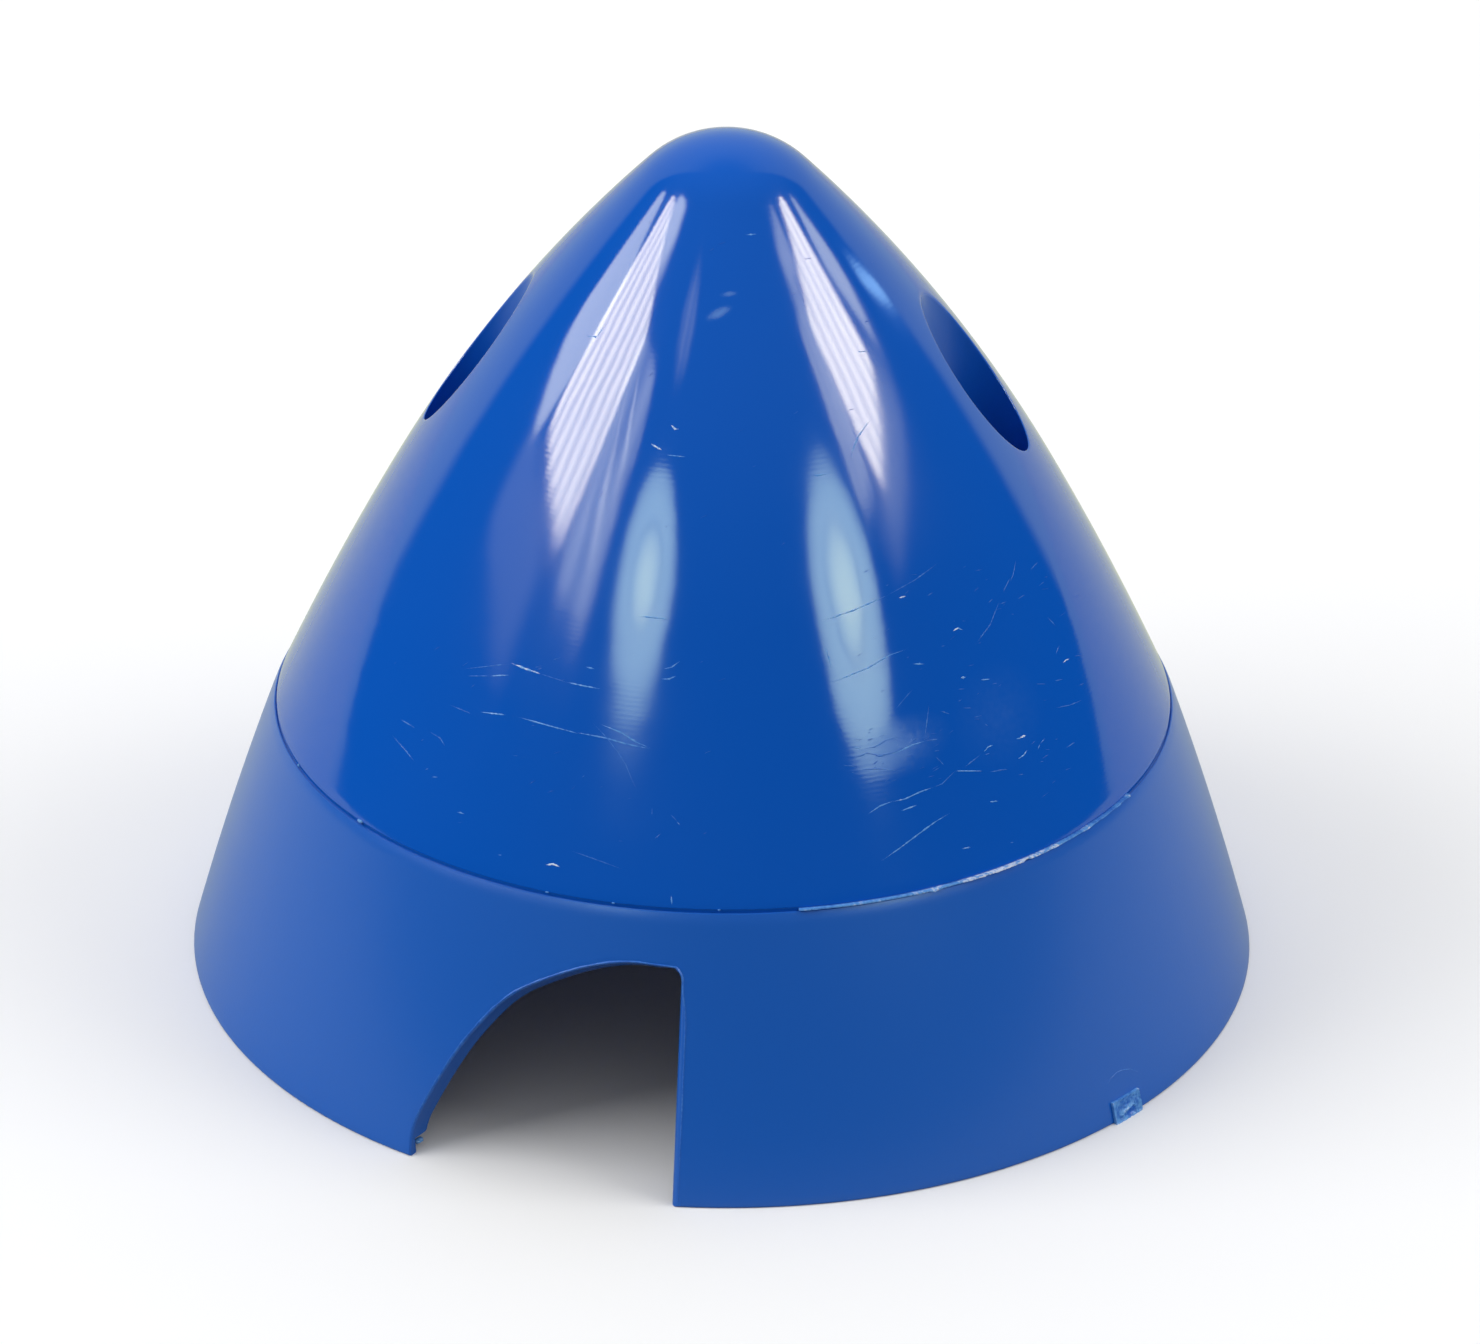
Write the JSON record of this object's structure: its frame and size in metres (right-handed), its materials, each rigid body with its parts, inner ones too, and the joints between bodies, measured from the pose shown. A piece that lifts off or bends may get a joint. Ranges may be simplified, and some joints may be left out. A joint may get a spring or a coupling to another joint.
{
  "type": "propeller spinner",
  "caption": "Hollow conical propeller spinner in one moulded piece, with a glossy dome, a satin base ring, screw tunnels and blade cut-outs.",
  "frame": {"origin": "centre of the open base, in the plane of its rim", "axes": "+Z along the spin axis towards the nose; the blades leave along -Y and +Y, and the screws lie 13.4 degrees round from +X and from -X"},
  "size_m": [0.057, 0.0552, 0.0466],
  "materials": {
    "blue_plastic": "glossy dome over a satin base ring"
  },
  "bodies": {
    "root": {"spinner_cone": "blue_plastic"}
  },
  "joints": []
}
